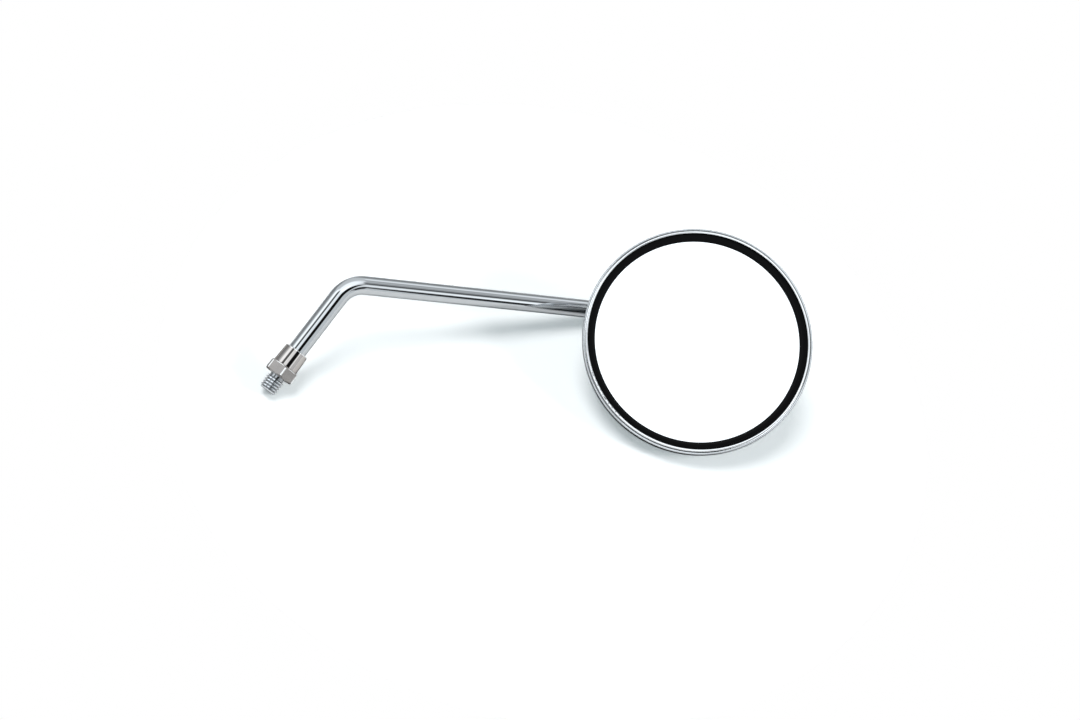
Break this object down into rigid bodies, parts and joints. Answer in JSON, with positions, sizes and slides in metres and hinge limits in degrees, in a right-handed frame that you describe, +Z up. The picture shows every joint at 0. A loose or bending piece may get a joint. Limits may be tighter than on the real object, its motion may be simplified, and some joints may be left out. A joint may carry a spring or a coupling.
{
  "type": "motorcycle mirror",
  "caption": "Round chromed motorcycle mirror: a dished head with rubber-sealed convex glass, turning on a ball joint at the end of a bent rod stem with a threaded stud and collared lock nut.",
  "frame": {"origin": "on the stud's axis, in the plane where the lock nut seats on the bracket", "axes": "+Z up along the stud from its free end towards the stem's first bend; the glass looks along -Y, tipped a little upwards; the head stands towards +X and +Y of the stud"},
  "size_m": [0.1892, 0.0646, 0.1775],
  "materials": {
    "stem_chrome": "bright chrome, zinc on the thread",
    "ball_steel": "ground",
    "nut_nickel": "warm nickel, turned",
    "shell_chrome": "bright chrome",
    "socket_steel": "turned",
    "seat_plastic": "natural",
    "cup_plastic": "natural",
    "spring_steel": "oiled",
    "plug_steel": "turned",
    "rim_chrome": "bright chrome",
    "seal_rubber": "satin",
    "silvered_glass": "polished",
    "pad_foam": "matt foam"
  },
  "bodies": {
    "stem": {"stem": "stem_chrome", "stem_ball": "ball_steel"},
    "lock_nut": {"lock_nut": "nut_nickel"},
    "ball_seat": {"ball_seat": "seat_plastic"},
    "pressure_cup": {"pressure_cup": "cup_plastic"},
    "head": {"back_shell": "shell_chrome", "ball_socket": "socket_steel", "disc_spring": "spring_steel", "retaining_plug": "plug_steel", "rim_ring": "rim_chrome", "glass_seal": "seal_rubber", "mirror_glass": "silvered_glass", "backing_pad": "pad_foam"}
  },
  "joints": [
    {"name": "lock_nut_turn", "type": "hinge", "parent": "stem", "child": "lock_nut", "pos_m": [0, 0, 0], "axis": [0, 0, 1], "continuous": true},
    {"name": "head_pan", "type": "hinge", "parent": "stem", "child": "ball_seat", "pos_m": [0.11566, 0.04034, 0.12083], "axis": [0.1201, 0.0571, 0.9911], "range_deg": [-15, 15]},
    {"name": "head_tilt", "type": "hinge", "parent": "ball_seat", "child": "pressure_cup", "pos_m": [0.11566, 0.04034, 0.12083], "axis": [0.7605, 0.6364, -0.1289], "range_deg": [-15, 15]},
    {"name": "head_spin", "type": "hinge", "parent": "pressure_cup", "child": "head", "pos_m": [0.11566, 0.04034, 0.12083], "axis": [-0.6381, 0.7692, 0.033], "range_deg": [-30, 30]}
  ]
}
